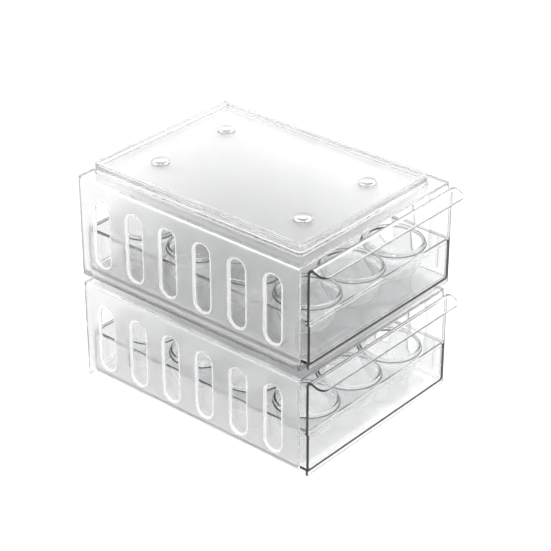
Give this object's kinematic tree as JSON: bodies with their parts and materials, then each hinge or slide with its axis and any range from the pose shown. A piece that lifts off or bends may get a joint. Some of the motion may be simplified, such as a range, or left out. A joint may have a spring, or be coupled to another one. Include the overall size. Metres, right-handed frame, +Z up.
{
  "type": "egg holder tray",
  "caption": "Stackable satin casings, open at the front, each with a clear slide-out drawer and a lift-out egg tray with round cups.",
  "frame": {"origin": "on the surface that the holder stands on, under the centre of its overall box", "axes": "+Z up; -Y towards the user, the way the drawers slide out; +X to the right of a user facing the drawers"},
  "size_m": [0.16, 0.217, 0.169],
  "materials": {
    "satin_case": "translucent, fine satin surface with polished edges",
    "clear_drawer": "water-clear, polished",
    "clear_tray": "water-clear, polished",
    "clear_bumper": "soft clear elastomer, glossy"
  },
  "bodies": {
    "lower_casing": {"lower_casing": "satin_case", "lower_bumper_front_left": "clear_bumper", "lower_bumper_front_right": "clear_bumper", "lower_bumper_rear_left": "clear_bumper", "lower_bumper_rear_right": "clear_bumper"},
    "lower_drawer": {"lower_drawer": "clear_drawer"},
    "lower_egg_tray": {"lower_egg_tray": "clear_tray"},
    "upper_casing": {"upper_casing": "satin_case", "upper_bumper_front_left": "clear_bumper", "upper_bumper_front_right": "clear_bumper", "upper_bumper_rear_left": "clear_bumper", "upper_bumper_rear_right": "clear_bumper"},
    "upper_drawer": {"upper_drawer": "clear_drawer"},
    "upper_egg_tray": {"upper_egg_tray": "clear_tray"}
  },
  "joints": [
    {"name": "lower_drawer_slide", "type": "slide", "parent": "lower_casing", "child": "lower_drawer", "axis": [0, -1, 0], "range_m": [0, 0.15]},
    {"name": "lower_egg_tray_lift", "type": "slide", "parent": "lower_drawer", "child": "lower_egg_tray", "axis": [0, 0, 1], "range_m": [0, 0.03]},
    {"name": "upper_tier_lift", "type": "slide", "parent": "lower_casing", "child": "upper_casing", "axis": [0, 0, 1], "range_m": [0, 0.06]},
    {"name": "upper_drawer_slide", "type": "slide", "parent": "upper_casing", "child": "upper_drawer", "axis": [0, -1, 0], "range_m": [0, 0.15]},
    {"name": "upper_egg_tray_lift", "type": "slide", "parent": "upper_drawer", "child": "upper_egg_tray", "axis": [0, 0, 1], "range_m": [0, 0.03]}
  ]
}
